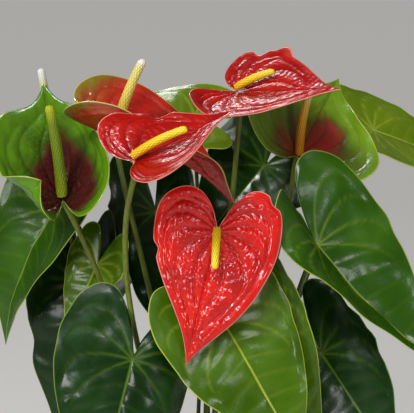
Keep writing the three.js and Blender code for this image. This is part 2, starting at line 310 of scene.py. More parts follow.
# for each point, how far the nearest vein is, how far along that vein from its root, and which vein it is
def nearVeins(points, lines):
    nearest = np.full(len(points), 1e9)
    along = np.zeros(len(points))
    which = np.zeros(len(points), int)
    for i, line in enumerate(lines):
        gaps = np.linalg.norm(points[:, None] - line[None], axis=2)
        best = gaps.argmin(axis=1)
        lengths = np.concatenate([[0], np.cumsum(np.linalg.norm(np.diff(line, axis=0), axis=1))])
        before = distanceToSegments(points, line[np.maximum(best - 1, 0)], line[best])
        after = distanceToSegments(points, line[best], line[np.minimum(best + 1, len(line) - 1)])
        distance = np.minimum(before, after)
        closer = distance < nearest
        nearest[closer] = distance[closer]
        along[closer] = lengths[best][closer]
        which[closer] = i
    return nearest, along, which


# how far each point is from the borders between the blisters of a puckered surface, in mm
def blisters(points, size, seed):
    rng = np.random.default_rng(seed)
    low, high = points.min(0) - 2 * size, points.max(0) + 2 * size
    xs, ys = np.meshgrid(np.arange(low[0], high[0], size), np.arange(low[1], high[1], size))
    seeds = np.stack([xs.ravel(), ys.ravel()], axis=1)
    seeds += rng.uniform(-0.42, 0.42, seeds.shape) * size
    border = np.zeros(len(points))
    for first in range(0, len(points), 4000):
        part = points[first:first + 4000]
        gaps = np.sort(np.linalg.norm(part[:, None] - seeds[None], axis=2), axis=1)[:, :2]
        border[first:first + 4000] = gaps[:, 1] - gaps[:, 0]
    return border


# soft hills over the flat blade, from -1 to 1, about size mm wide
def softHills(points, size, seed):
    rng = np.random.default_rng(seed)
    total = np.zeros(len(points))
    for _ in range(7):
        heading = rng.uniform(0, 2 * math.pi)
        wave = rng.uniform(0.8, 1.9) * size
        phase = rng.uniform(0, 2 * math.pi)
        total += np.sin(2 * math.pi * (points @ [math.cos(heading), math.sin(heading)]) / wave + phase)
    return total / 4


# spokes run round half of a blade, and rows from its stalk to its edge
fineness = {"spathe": (96, 84), "nearLeaf": (96, 92), "leaf": (64, 60)}


# the CAD blade, drawn with many more rows and spokes: places in metres, flat places in mm and the share of the reach
def fineBlade(node, stalkTop, kind):
    spokes, rows = fineness[kind]
    grid, face = readBlade(node, stalkTop)
    flat = spreadFlat(grid)
    halves = []
    leftSpokes = list(range(tipToNotch + 1))
    rightSpokes = [0] + list(range(cadSpokes - 1, tipToNotch - 1, -1))
    for order in (leftSpokes, rightSpokes):
        both = np.concatenate([grid[:, order], flat[:, order]], axis=2)
        rings = smoothRun(both, rows + 1)
        halves.append(smoothRun(rings.transpose(1, 0, 2), spokes + 1).transpose(1, 0, 2))
    whole = np.concatenate([halves[0], halves[1][:, -2::-1]], axis=1)
    share = np.repeat(np.linspace(0, 1, rows + 1)[:, None], whole.shape[1], axis=1)
    return whole[:, :, :3], whole[:, :, 3:], share, face


def unitRows(vectors):
    return vectors / np.maximum(np.linalg.norm(vectors, axis=1), 1e-9)[:, None]


# turns the edge of a blade up or over along a round bend, and draws the outline out or in
# a curl is (side, angle of its middle, half width in degrees, depth in mm, degrees turned, + towards the face)
# a pull is (side, angle of its middle, half width in degrees, mm outwards)
def shapeEdge(places, flat, share, face, curls, pulls):
    angle = np.degrees(np.arctan2(flat[-1, :, 0], flat[-1, :, 1]))
    inside = np.linalg.norm(flat[-1], axis=1)[None] * (1 - share)
    ray = places[-1] - places[-3]
    along = places[-1, (np.arange(len(angle)) + 1) % (len(angle) - 1)] - places[-1, np.arange(len(angle)) - 1]
    along[[0, -1]] = places[-1, 1] - places[-1, -2]
    up = unitRows(np.cross(ray, along))
    up *= np.sign(up @ face)[:, None]
    outward = unitRows(np.cross(along, up))
    outward *= np.sign((outward * ray).sum(1))[:, None]
    moved = places.copy()
    for side, middle, halfWidth, depth, degrees in curls:
        strength = np.clip(1 - ((angle * side - middle) / halfWidth) ** 2, 0, 1) ** 2
        bent = np.clip(depth - inside, 0, depth)
        turn = np.radians(degrees) * strength / depth
        turn = np.where(np.abs(turn) < 1e-5, 1e-5, turn)[None]
        moved -= outward * ((bent - np.sin(bent * turn) / turn) * mm)[:, :, None]
        moved += up * ((1 - np.cos(bent * turn)) / turn * mm)[:, :, None]
    for side, middle, halfWidth, length in pulls:
        strength = np.clip(1 - ((angle * side - middle) / halfWidth) ** 2, 0, 1) ** 2
        moved += outward * (strength[None] * share ** 6 * length * mm)[:, :, None]
    return moved


# draws the tip out into a thin tail: length in mm, and width in spokes
def drawTail(places, share, length, width):
    columns = places.shape[1]
    fromTip = np.minimum(np.arange(columns), columns - 1 - np.arange(columns))
    pull = np.exp(-(fromTip / width) ** 2)[None] * np.clip((share - 0.93) / 0.07, 0, 1) ** 2
    along = places[-1, 0] - places[-4, 0]
    along /= np.linalg.norm(along)
    return places + pull[:, :, None] * along * length * mm


# pushes each point of the mesh along its normal by the mark named relief, in mm, then gives the sheet its thickness
def raiseAndThicken(piece, face, thickness, underSlot):
    relief = np.zeros(len(piece.data.vertices), np.float32)
    piece.data.attributes["relief"].data.foreach_get("value", relief)
    normals = vertexNormals(piece)
    if normals.mean(axis=0) @ face < 0:
        bpy.ops.object.mode_set(mode="EDIT")
        bpy.ops.mesh.select_all(action="SELECT")
        bpy.ops.mesh.flip_normals()
        bpy.ops.object.mode_set(mode="OBJECT")
        normals = vertexNormals(piece)
    places = np.zeros(len(piece.data.vertices) * 3, np.float32)
    piece.data.vertices.foreach_get("co", places)
    places = places.reshape(-1, 3) + normals * relief[:, None] * mm
    piece.data.vertices.foreach_set("co", places.reshape(-1))
    piece.data.update()
    wall = piece.modifiers.new("wall", "SOLIDIFY")
    wall.thickness = thickness * mm
    wall.offset = 0
    wall.material_offset = underSlot
    bpy.ops.object.modifier_apply(modifier="wall")
    piece.data.attributes.remove(piece.data.attributes["relief"])


# lays a colour over a blade by one of its marks, from full strength at one value of the mark to none at another
def drawMark(material, under, hexCode, mark, fullAt, goneAt, strength, interpolation="SMOOTHSTEP"):
    value = addNode(material, "Attribute", attribute_name=mark).outputs["Fac"]
    mask = addNode(material, "MapRange", {
        "Value": value, "From Min": fullAt, "From Max": goneAt, "To Min": strength, "To Max": 0,
    }, interpolation_type=interpolation).outputs["Result"]
    return addNode(material, "Mix", {"Factor": mask, 6: under, 7: linearColor(hexCode)}, data_type="RGBA").outputs[2]


# living tissue, whose tone and roughness drift with one cloud of noise: gives its colour and its roughness
def cloudyTissue(material, place, stops, cloud, drift, roughness):
    noise = addNode(material, "TexNoise", {"Vector": place, **cloud}).outputs["Fac"]
    tone = addNode(material, "Attribute", attribute_name="tone").outputs["Fac"]
    shifted = addNode(material, "MapRange", {
        "Value": noise, "From Min": 0.3, "From Max": 0.7, "To Min": -drift, "To Max": drift,
    }).outputs["Result"]
    mixed = addNode(material, "Math", {0: tone, 1: shifted}, operation="ADD", use_clamp=True).outputs[0]
    ramp = addNode(material, "ValToRGB", {"Fac": mixed})
    setStops(ramp, stops)
    sheen = addNode(material, "MapRange", {
        "Value": noise, "From Min": 0.3, "From Max": 0.7, "To Min": roughness[0], "To Max": roughness[1],
    }).outputs["Result"]
    return ramp.outputs["Color"], sheen


# bump from a coarse noise and a third as much of a fine one; depth in mm
def twoGrains(material, place, coarse, fine, strength, depth):
    grain = addNode(material, "TexNoise", {"Vector": place, **fine}).outputs["Fac"]
    ripple = addNode(material, "TexNoise", {"Vector": place, **coarse}).outputs["Fac"]
    height = addNode(material, "Math", {0: ripple, 1: 3.0, 2: grain}, operation="MULTIPLY_ADD").outputs[0]
    return addNode(material, "Bump", {"Height": height, "Strength": strength, "Distance": depth * mm}).outputs["Normal"]


# waxy spathe, upper face: a thick clear cuticle over soft tissue gives small sharp highlights on every pucker.
# tone picks the colour from the stops, the veins are painted a little darker as shade in their grooves, and the cut
# edge paler.
def waxyFace(name, stops, groove, rim, roughness=0.32, coat=0.6):
    material, shader = newMaterial(name)
    flat = addNode(material, "UVMap", uv_map="flat").outputs["UV"]
    cloud = {"Scale": 60, "Detail": 3}
    sheenRange = (roughness - 0.05, roughness + 0.08)
    tissue, sheen = cloudyTissue(material, flat, stops, cloud, 0.09, sheenRange)
    # painted shade: the colour darkens along the veins, where the grooves lie
    veinGrooveShade = drawMark(material, tissue, groove, "vein", 1, 0, 1, "LINEAR")
    wrinkles = {"Scale": 260, "Detail": 2, "Distortion": 0.6}
    setInputs(material, shader, {
        "Base Color": drawMark(material, veinGrooveShade, rim, "edge", 0.3, 1.1, 0.85),
        "Roughness": sheen,
        "Normal": twoGrains(material, flat, wrinkles, {"Scale": 700, "Detail": 2}, 0.6, 0.2),
        "IOR": 1.45, "Coat Weight": coat, "Coat Roughness": 0.09, "Specular IOR Level": 0.22,
    })
    return material


# the underside of a blade: no wax film, so it is matt, with its veins a little paler than the tissue
def mattBack(name, stops, veinColor, rim, roughness=0.48):
    material, shader = newMaterial(name)
    flat = addNode(material, "UVMap", uv_map="flat").outputs["UV"]
    tone = addNode(material, "Attribute", attribute_name="tone").outputs["Fac"]
    ramp = addNode(material, "ValToRGB", {"Fac": tone})
    setStops(ramp, stops)
    veined = drawMark(material, ramp.outputs["Color"], veinColor, "vein", 1, 0, 0.6, "LINEAR")
    grain = addNode(material, "TexNoise", {"Vector": flat, "Scale": 500, "Detail": 3}).outputs["Fac"]
    bump = addNode(material, "Bump", {"Height": grain, "Strength": 0.4, "Distance": 0.2 * mm}).outputs["Normal"]
    setInputs(material, shader, {
        "Base Color": drawMark(material, veined, rim, "edge", 0.4, 1.2, 0.9), "Normal": bump,
        "Roughness": roughness, "IOR": 1.42, "Specular IOR Level": 0.15,
    })
    return material


# glossy leaf, upper face: a smooth cuticle over deep green, with pale ribs and a thin pale edge
def glossyLeaf(name, stops, rib, rim, roughness=0.22):
    material, shader = newMaterial(name)
    flat = addNode(material, "UVMap", uv_map="flat").outputs["UV"]
    cloud = {"Scale": 28, "Detail": 4}
    sheenRange = (roughness - 0.06, roughness + 0.1)
    tissue, sheen = cloudyTissue(material, flat, stops, cloud, 0.16, sheenRange)
    veined = drawMark(material, tissue, rib, "vein", 1, 0, 1, "LINEAR")
    ribbed = drawMark(material, veined, rib, "midrib", 0.55, 1.15, 0.9)
    ripples = {"Scale": 120, "Detail": 2}
    setInputs(material, shader, {
        "Base Color": drawMark(material, ribbed, rim, "edge", 0.3, 1.2, 0.9),
        "Roughness": sheen,
        "Normal": twoGrains(material, flat, ripples, {"Scale": 420, "Detail": 3}, 0.5, 0.12),
        "IOR": 1.45, "Specular IOR Level": 0.36,
    })
    return material


# in mm, and the arching veins as start angle, share of the reach, end angle and turn
spatheLook = {
    "thickness": 0.6, "pucker": 2.1, "grooveWidth": 3, "ladder": 0.7, "rungs": (4.2, 6.5), "blister": 0.8,
    "blisterSize": 6, "hills": 0.35, "hillSize": 26, "flatEdge": 5, "flatHeart": 7, "tailWidth": 1.3,
    "veinWidth": 0.9, "veinFade": 90, "midrib": 0.93,
    "arches": [
        (30, 0.66, 3, 8), (62, 0.82, 4, 10), (94, 0.88, 20, 12),
        (122, 0.87, 60, 12), (147, 0.84, 100, 12), (166, 0.8, 135, 10),
    ],
}

redStops = [(0, "#980703"), (0.5, "#c40d05"), (1, "#da1c0a")]
redFace = waxyFace("waxy_red_spathe_grown", redStops, "#7a0402", "#eca08c")
# a darker copy of the same spathe red: painted shade for the middle and top spathes
shadedRedStops = [(0, "#7c0402"), (0.5, "#a40903"), (1, "#be1508")]
shadedRedFace = waxyFace("waxy_red_spathe_painted_shade", shadedRedStops, "#600201", "#e08c78", 0.34, 0.3)
redBack = mattBack("matt_red_spathe_back", [(0, "#8c120c"), (1, "#a8221a")], "#c24838", "#d88472")
fadingFace = waxyFace("waxy_fading_spathe_grown", [
    (0, "#ae120a"), (0.45, "#b02a14"), (0.72, "#8e4a1c"), (1, "#6c7a1c"),
], "#78140c", "#c8b468")
# the red end is partly the underside's own red and partly painted light, made brighter to offset the shade on the
# downward-facing underside
fadingBack = mattBack("matt_fading_spathe_back", [
    (0, "#dc1a0c"), (0.4, "#c23c16"), (0.7, "#a4601c"), (1, "#748a1c"),
], "#b84a28", "#e0bc84")
# the dark maroon at the low end of the tone is partly the spathe's own remaining red and partly painted shade of its
# cupped hollow
agedFace = waxyFace("waxy_green_spathe_aged", [
    (0, "#300508"), (0.3, "#430c0e"), (0.44, "#4e2c18"), (0.58, "#3a4c08"), (0.8, "#456a08"), (1, "#568408"),
], "#1c2606", "#b0b848", coat=0.3)
agedBack = mattBack("matt_green_spathe_back", [(0, "#3c6414"), (1, "#4a7e1a")], "#6c9030", "#b4bc68")
# the rosy low-end stops are the pocket's own colour, painted lighter as light to offset the shade on that half of the
# spathe
rosyFace = waxyFace("waxy_green_rosy_spathe_aged", [
    (0, "#b42a24"), (0.3, "#9c3a24"), (0.5, "#6e4a1a"), (0.68, "#5c7010"), (1, "#688c18"),
], "#5c2414", "#b4bc50", coat=0.4)

# pucker is how strong the quilting is; curls and pulls are as for shapeEdge
spathes = {
    "front": {
        "face": redFace, "back": redBack, "slot": "spathe_red", "tail": 3, "pucker": 1,
        "curls": [(1, 84, 26, 14, -35)], "pulls": [(1, 62, 8, -3), (-1, 129, 9, -3)],
    },
    "middle": {
        # the middle spathe wears the darker copy of the red, as painted shade
        "face": shadedRedFace, "back": redBack, "slot": "spathe_red", "tail": 2.5, "pucker": 0.4,
        "curls": [(-1, 60, 45, 16, -60)], "pulls": [(-1, 40, 14, -5), (-1, 163, 17, 6), (1, 163, 17, 6)],
    },
    "rear_left": {
        "face": fadingFace, "back": fadingBack, "slot": "spathe_fading", "tail": 2, "pucker": 0.7,
        "curls": [(1, 110, 40, 20, 50)], "pulls": [(1, 16, 16, 12), (1, 132, 30, 3)],
    },
    "top": {
        # the top spathe wears the darker copy of the red, as painted shade
        "face": shadedRedFace, "back": redBack, "slot": "spathe_red", "tail": 2, "pucker": 0.6,
        "curls": [(1, 118, 30, 18, 40)], "pulls": [(-1, 62, 16, 7), (-1, 92, 13, -6)],
    },
    "right": {
        "face": rosyFace, "back": agedBack, "slot": "spathe_green", "tail": 1, "pucker": 0.45,
        "curls": [(1, 40, 34, 22, 60)], "pulls": [],
    },
    "left": {
        "face": agedFace, "back": agedBack, "slot": "spathe_green", "tail": 1, "pucker": 0.65,
        "curls": [(1, 0, 30, 9, -60), (-1, 122, 42, 34, 115)],
        "pulls": [(-1, 44, 42, 18), (-1, 18, 18, 6), (1, 20, 18, 6)],
    },
    "back_left": {
        "face": agedFace, "back": agedBack, "slot": "spathe_green", "tail": 1, "pucker": 0.5,
        "curls": [], "pulls": [],
    },
}


# how far a spathe has turned from its first colour, by its own flat places: 0 at first colour, 1 fully turned
def spatheTone(name, flat, share, side):
    hills = softHills(flat, 30, len(name))
    if name in ("front", "middle", "top"):
        return 0.5 + 0.24 * hills
    if name == "rear_left":
        lobes = np.clip((-flat[:, 1] + 18) / 55, 0, 1)
        tone = 0.1 + 0.5 * lobes + 0.4 * share ** 4 * np.clip(0.4 + lobes, 0, 1)
        return np.clip(tone + 0.1 * hills, 0, 1)
    angle = np.degrees(np.arctan2(side * flat[:, 0], flat[:, 1]))
    if name == "right":
        pocket = np.exp(-((angle - 34) / 30) ** 2) * (side > 0) * np.clip((0.8 - share) / 0.2, 0, 1)
        return np.clip(0.18 + share ** 1.1 - 0.55 * pocket + 0.1 * hills, 0, 1)
    green = np.where(side > 0, 0.7, 0.52) - 0.14 * np.clip((angle - 120) / 40, 0, 1)
    turned = 1 / (1 + np.exp(-(share - green) / 0.06))
    return np.clip(0.05 + 0.45 * share + 0.55 * turned + 0.1 * hills, 0, 1)


# the quilting of a spathe: grooves along the veins, with rungs and blisters between them
def spatheRelief(points, distance, along, which, count, inside, pucker):
    look = spatheLook
    puff = 1 - np.exp(-distance / look["grooveWidth"])
    rng = np.random.default_rng(count)
    rungs = along / rng.uniform(*look["rungs"], count)[which] + rng.uniform(0, 1, count)[which]
    rungs = np.abs(np.sin(math.pi * (rungs + 0.3 * softHills(points, 14, 5))))
    cells = 1 - np.exp(-blisters(points, look["blisterSize"], 11) / 1.5)
    relief = look["pucker"] * puff + look["ladder"] * puff * rungs + look["blister"] * cells
    middle = look["pucker"] * 2 / 3  # about the mean height, which keeps the sheet where the frame has it
    return ((relief - middle) * pucker + look["hills"] * softHills(points, look["hillSize"], 3)) * inside


def makeSpathe(name, settings):
    look = spatheLook
    stalk = readStalk("peduncle_" + name)
    places, flat, share, face = fineBlade("spathe_" + name, Vector(stalk[-1]), "spathe")
    places = shapeEdge(places, flat, share, face, settings["curls"], settings["pulls"])
    places = drawTail(places, share, settings["tail"], look["tailWidth"])
    points = flat.reshape(-1, 2)
    side = np.where(points[:, 0] < 0, -1, 1)
    lines = [midribLine(flat, look["midrib"], 80)]
    for half in (-1, 1):
        lines += archingVeins(edgeReach(flat, half), half, look["arches"])
    distance, along, which = nearVeins(points, lines)
    edgeGap = edgeGaps(flat, share)
    fromStalk = np.linalg.norm(points, axis=1)
    inside = np.clip(edgeGap / look["flatEdge"], 0, 1) * np.clip(fromStalk / look["flatHeart"], 0.15, 1)
    marks = {
        "relief": spatheRelief(points, distance, along, which, len(lines), inside, settings["pucker"]),
        "tone": spatheTone(name, points, share.reshape(-1), side),
        "vein": 0.55 * np.exp(-(distance / look["veinWidth"]) ** 2) * np.clip(1.2 - along / look["veinFade"], 0.2, 1),
        "edge": edgeGap,
    }
    piece = meshFromGrid("spathe_" + name + "_grown", places, marks, flat * mm)
    raiseAndThicken(piece, face, look["thickness"], 1)
    finishPiece(piece, [settings["face"], settings["back"]], settings["slot"], "spathe_" + name)
    return places[0, 0], face


poles = {}
for name, settings in spathes.items():
    poles[name] = makeSpathe(name, settings)
print("spathes made:", len(spathes))

# in mm, and the veins: from the stalk as start angle, share of the reach, end angle and turn, and from the midrib as
# share of the length where one starts, its end angle and its share of the reach
leafLook = {
    "thickness": 0.5, "pucker": 0.7, "grooveWidth": 4.5, "hills": 1.3, "hillSize": 45, "dents": 0.25, "dentSize": 16,
    "flatEdge": 8, "flatHeart": 12, "tail": 2, "tailWidth": 1, "wave": 1.6, "veinWidth": 1.2, "veinFade": 70,
    "midrib": 0.97,
    "arches": [(58, 0.93, 40, 8), (92, 0.93, 60, 9), (124, 0.92, 92, 10), (152, 0.9, 122, 10)],
    "laterals": [
        (0.04, 62, 0.94), (0.13, 48, 0.94), (0.24, 38, 0.94), (0.36, 29, 0.94),
        (0.49, 21, 0.94), (0.62, 14, 0.95), (0.75, 8, 0.96),
    ],
}

# nearly black green: partly the leaves' own deep green and partly painted shade for the leaves that stand in shadow
shadowedDarkLeaf = glossyLeaf("glossy_dark_leaf_and_painted_shade", [
    (0, "#071a03"), (0.5, "#0e2d05"), (1, "#1b4607"),
], "#4a6418", "#748c30")
midLeaf = glossyLeaf("glossy_mid_leaf_grown", [
    (0, "#163204"), (0.5, "#274c06"), (1, "#3c660a"),
], "#6c8428", "#92a63c")
freshLeaf = glossyLeaf("glossy_fresh_leaf_grown", [
    (0, "#284404"), (0.5, "#426406"), (1, "#60800c"),
], "#98a638", "#acb84a")
limeLeaf = glossyLeaf("glossy_lime_leaf_grown", [
    (0, "#465e04"), (0.5, "#5e7808"), (1, "#7c9212"),
], "#98a638", "#b0bc50")
leafBack = mattBack("matt_leaf_back", [(0, "#2c5414"), (1, "#446c22")], "#788e40", "#8ea446", roughness=0.42)

# near blades have a finer mesh, wave is the height of the edge's waves where it is not the usual, and curls are as
# for shapeEdge
leaves = {
    "left_upper": {"face": midLeaf, "kind": "nearLeaf"},
    "left_lower": {"face": shadowedDarkLeaf, "wave": 3.4},
    "young": {"face": freshLeaf},
    "middle_left": {"face": shadowedDarkLeaf, "wave": 3.4},
    "front_left": {"face": shadowedDarkLeaf, "kind": "nearLeaf"},
    "front_middle": {"face": freshLeaf, "kind": "nearLeaf"},
    "front_right": {"face": freshLeaf},
    "right_upper": {"face": midLeaf, "kind": "nearLeaf", "curls": [(1, 118, 75, 34, -65)]},
    "right_lower": {"face": shadowedDarkLeaf, "wave": 3.4},
    "rear_middle": {"face": shadowedDarkLeaf, "wave": 3.4},
    "rear_top": {"face": limeLeaf},
    "rear_right": {"face": limeLeaf},
    "back_left": {"face": midLeaf},
    "back_middle": {"face": shadowedDarkLeaf},
    "back_right": {"face": midLeaf},
    "low_left": {"face": shadowedDarkLeaf},
    "low_right": {"face": midLeaf},
}


def makeLeaf(name, settings):
    look = leafLook
    stalk = readStalk("petiole_" + name)
    places, flat, share, face = fineBlade("leaf_" + name, Vector(stalk[-1]), settings.get("kind", "leaf"))
    seed = sum(map(ord, name))
    rng = np.random.default_rng(seed)
    wave = settings.get("wave", look["wave"])
    pulls = [(half, angle, 13, wave * rng.uniform(-1, 1)) for half in (-1, 1) for angle in range(18, 150, 14)]
    places = shapeEdge(places, flat, share, face, settings.get("curls", []), pulls)
    places = drawTail(places, share, look["tail"], look["tailWidth"])
    points = flat.reshape(-1, 2)
    length = flat[-1, 0, 1]
    arches = []
    laterals = []
    for half in (-1, 1):
        reachAt = edgeReach(flat, half)
        arches += archingVeins(reachAt, half, look["arches"])
        laterals += sideVeins(reachAt, half, length, look["laterals"])
    distance, along, which = nearVeins(points, [midribLine(flat, look["midrib"], 60)] + arches + laterals)
    edgeGap = edgeGaps(flat, share)
    fromStalk = np.linalg.norm(points, axis=1)
    inside = np.clip(edgeGap / look["flatEdge"], 0, 1) * np.clip(fromStalk / look["flatHeart"], 0.1, 1)
    relief = look["pucker"] * (1 - np.exp(-distance / look["grooveWidth"]))
    relief += look["hills"] * softHills(points, look["hillSize"], seed)
    relief += look["dents"] * softHills(points, look["dentSize"], seed + 1)
    ruffle = 0.8 * wave * softHills(points, 40, seed + 3) * share.reshape(-1) ** 3
    isArch = (which > 0) & (which <= len(arches))
    strength = np.where(which == 0, 0, np.where(isArch, 0.6, 0.12)) * np.clip(1.1 - along / look["veinFade"], 0.1, 1)
    ribWidth = np.interp(points[:, 1] / length, [-0.3, 0, 0.5, 1], [0.7, 1.5, 0.9, 0.45])
    beyondStalk = 3  # a midrib mark this large draws nothing
    marks = {
        "relief": relief * inside + ruffle,
        "tone": np.clip(0.5 + 0.22 * softHills(points, 60, seed + 2), 0, 1),
        "vein": strength * np.exp(-(distance / look["veinWidth"]) ** 2),
        "midrib": np.where(points[:, 1] > -2, np.abs(points[:, 0]) / ribWidth, beyondStalk),
        "edge": edgeGap,
    }
    piece = meshFromGrid("leaf_" + name + "_grown", places, marks, flat * mm)
    raiseAndThicken(piece, face, look["thickness"], 1)
    finishPiece(piece, [settings["face"], leafBack], "leaf_tissue", "leaf_" + name)
    return places[0, 0], face


leafPoles = {}
for name, settings in leaves.items():
    leafPoles[name] = makeLeaf(name, settings)
print("leaves made:", len(leafPoles))


# smooth juicy stalk: fine lengthwise streaks under a thin wax film, paler in soft patches
def juicyStalk(name, low, high):
    material, shader = newMaterial(name)
    place = addNode(material, "TexCoord").outputs["Object"]
    stretched = addNode(material, "Mapping", {"Vector": place, "Scale": (1, 1, 0.12)}).outputs["Vector"]
    streak = addNode(material, "TexNoise", {"Vector": stretched, "Scale": 420, "Detail": 3}).outputs["Fac"]
    cloud = addNode(material, "TexNoise", {"Vector": place, "Scale": 22, "Detail": 2}).outputs["Fac"]
    both = addNode(material, "Math", {0: streak, 1: cloud}, operation="MULTIPLY").outputs[0]
    spread = addNode(material, "MapRange", {"Value": both, "From Min": 0.12, "From Max": 0.4}).outputs["Result"]
    ramp = addNode(material, "ValToRGB", {"Fac": spread})
    setStops(ramp, [(0, low), (1, high)])
    bump = addNode(material, "Bump", {"Height": streak, "Strength": 0.3, "Distance": 0.0002}).outputs["Normal"]
    setInputs(material, shader, {
        "Base Color": ramp.outputs["Color"], "Normal": bump, "Roughness": 0.36, "IOR": 1.43,
    })
    return material


oliveStalk = juicyStalk("juicy_olive_stalk_grown", "#424c0e", "#6c7a1c")
greenStalk = juicyStalk("juicy_green_stalk_grown", "#2c440c", "#506c18")
stalkLook = {
    "peduncle": {"radius": 2.6, "foot": 1.5, "footLength": 0.06, "neck": 1.15, "material": oliveStalk},
    "petiole": {"radius": 2.1, "foot": 1.7, "footLength": 0.09, "neck": 1.3, "material": greenStalk},
}


def makeStalk(kind, name, pole, face):
    look = stalkLook[kind]
    line = readStalk(kind + "_" + name)
    line = np.concatenate([smoothRun(line, 56)[:-1], [line[-1]], [pole - face * 0.5 * mm]])
    share = np.linspace(0, 1, len(line))
    width = 1 + (look["foot"] - 1) * np.exp(-(share / look["footLength"]) ** 2)
    width *= 1 - 0.15 * share  # thinner towards the top
    width += (look["neck"] - 1) * np.exp(-((share - 0.965) / 0.03) ** 2)  # the knuckle under the blade
    width[-1] *= 0.6
    curve = bpy.data.curves.new(kind + "_" + name + "_grown", "CURVE")
    curve.dimensions = "3D"
    curve.bevel_depth = look["radius"] * mm
    curve.bevel_resolution = 4
    curve.use_fill_caps = True
    spline = curve.splines.new("POLY")
    spline.points.add(len(line) - 1)
    for point, place, size in zip(spline.points, line, width):
        point.co = (*place, 1)
        point.radius = size
    piece = bpy.data.objects.new(kind + "_" + name + "_grown", curve)
    bpy.context.collection.objects.link(piece)
    selectOnly(piece)
    bpy.ops.object.convert(target="MESH")
    piece = bpy.context.object
    finishPiece(piece, [look["material"]], "stem_tissue", kind + "_" + name)


for name, (pole, face) in poles.items():
    makeStalk("peduncle", name, pole, face)
for name, (pole, face) in leafPoles.items():
    makeStalk("petiole", name, pole, face)
print("stalks made:", len(poles) + len(leafPoles))


# fleshy finger packed with tiny diamond-shaped flowers, its colour darkened with painted shade in the dips between them
def fleshyFinger(name, stops):
    material, shader = newMaterial(name)
    along = addNode(material, "Attribute", attribute_name="along").outputs["Fac"]
    ramp = addNode(material, "ValToRGB", {"Fac": along})
    setStops(ramp, stops)
    bead = addNode(material, "Attribute", attribute_name="bead").outputs["Fac"]
    # painted shade: the colour is multiplied down to 0.45 in the dips between the flowers
    shadeBetweenFlowers = addNode(material, "MapRange", {"Value": bead, "To Min": 0.45, "To Max": 1}).outputs["Result"]
    color = addNode(material, "Mix", {
        "Factor": 1.0, 6: ramp.outputs["Color"], 7: shadeBetweenFlowers,
    }, data_type="RGBA", blend_type="MULTIPLY").outputs[2]
    place = addNode(material, "TexCoord").outputs["Object"]
    grain = addNode(material, "TexNoise", {"Vector": place, "Scale": 1800, "Detail": 2}).outputs["Fac"]
    bump = addNode(material, "Bump", {"Height": grain, "Strength": 0.3, "Distance": 0.0001}).outputs["Normal"]
    setInputs(material, shader, {
        "Base Color": color, "Normal": bump, "Roughness": 0.42, "IOR": 1.4,
        "Subsurface Weight": 0.15, "Subsurface Radius": (0.003, 0.002, 0.001),
    })
    return material


yellowFinger = fleshyFinger("fleshy_yellow_spadix_grown", [(0, "#f8b80c"), (0.4, "#fdd814"), (1, "#ffe636")])
paleFinger = fleshyFinger("fleshy_pale_spadix_grown", [
    (0, "#ecc834"), (0.5, "#f6e060"), (0.88, "#f8ea88"), (0.96, "#fdf8e8"),
])
amberFinger = fleshyFinger("fleshy_amber_spadix_grown", [
    (0, "#f29c0e"), (0.6, "#f4b21e"), (0.85, "#f4c650"), (1, "#f6dea6"),
])
greenFinger = fleshyFinger("fleshy_green_spadix_grown", [
    (0, "#9aa414"), (0.3, "#6e8410"), (0.8, "#788e12"), (0.95, "#b4be1c"),
])
whiteFinger = fleshyFinger("fleshy_white_spadix_grown", [(0, "#c8cc5c"), (0.8, "#e2e29a"), (0.93, "#fbfaf0")])
# bead and sink are in mm: sink is how far the foot goes down to the spathe, and bend is the bow of the whole finger
spadixLook = {"rows": 150, "tipRows": 26, "around": 72, "bead": 0.42, "beadStretch": 1.15, "sink": 3}
spadices = {
    "front": {"material": yellowFinger, "bend": 3, "columns": 9},
    "middle": {"material": yellowFinger, "bend": 2, "columns": 9},
    "rear_left": {"material": paleFinger, "bend": 2, "columns": 10},
    "top": {"material": yellowFinger, "bend": 1.5, "columns": 9},
    "right": {"material": amberFinger, "bend": 2.5, "columns": 11},
    "left": {"material": greenFinger, "bend": 2, "columns": 11},
    "back_left": {"material": whiteFinger, "bend": 2, "columns": 12},
}


# the foot, the axis and the radius of a CAD spadix, whose end rings have as many corners as capSides
def readSpadix(node, pole, capSides=8):
    solid = solidOf(node)
    ends = []
    for v in solid.verts:
        facings = {f.normal.to_tuple(2) for f in v.link_faces}
        if len(v.link_edges) == capSides and len(facings) in (1, capSides):
            ends.append(v.co)
    ends.sort(key=lambda place: (place - Vector(pole)).length)
    base, tip = np.array(ends[0]), np.array(ends[-1])
    axis = (tip - base) / np.linalg.norm(tip - base)
    corners = np.array([v.co[:] for v in solid.verts]) - base
    radius = np.linalg.norm(corners - np.outer(corners @ axis, axis), axis=1).max()
    solid.free()
    return base, tip, axis, radius


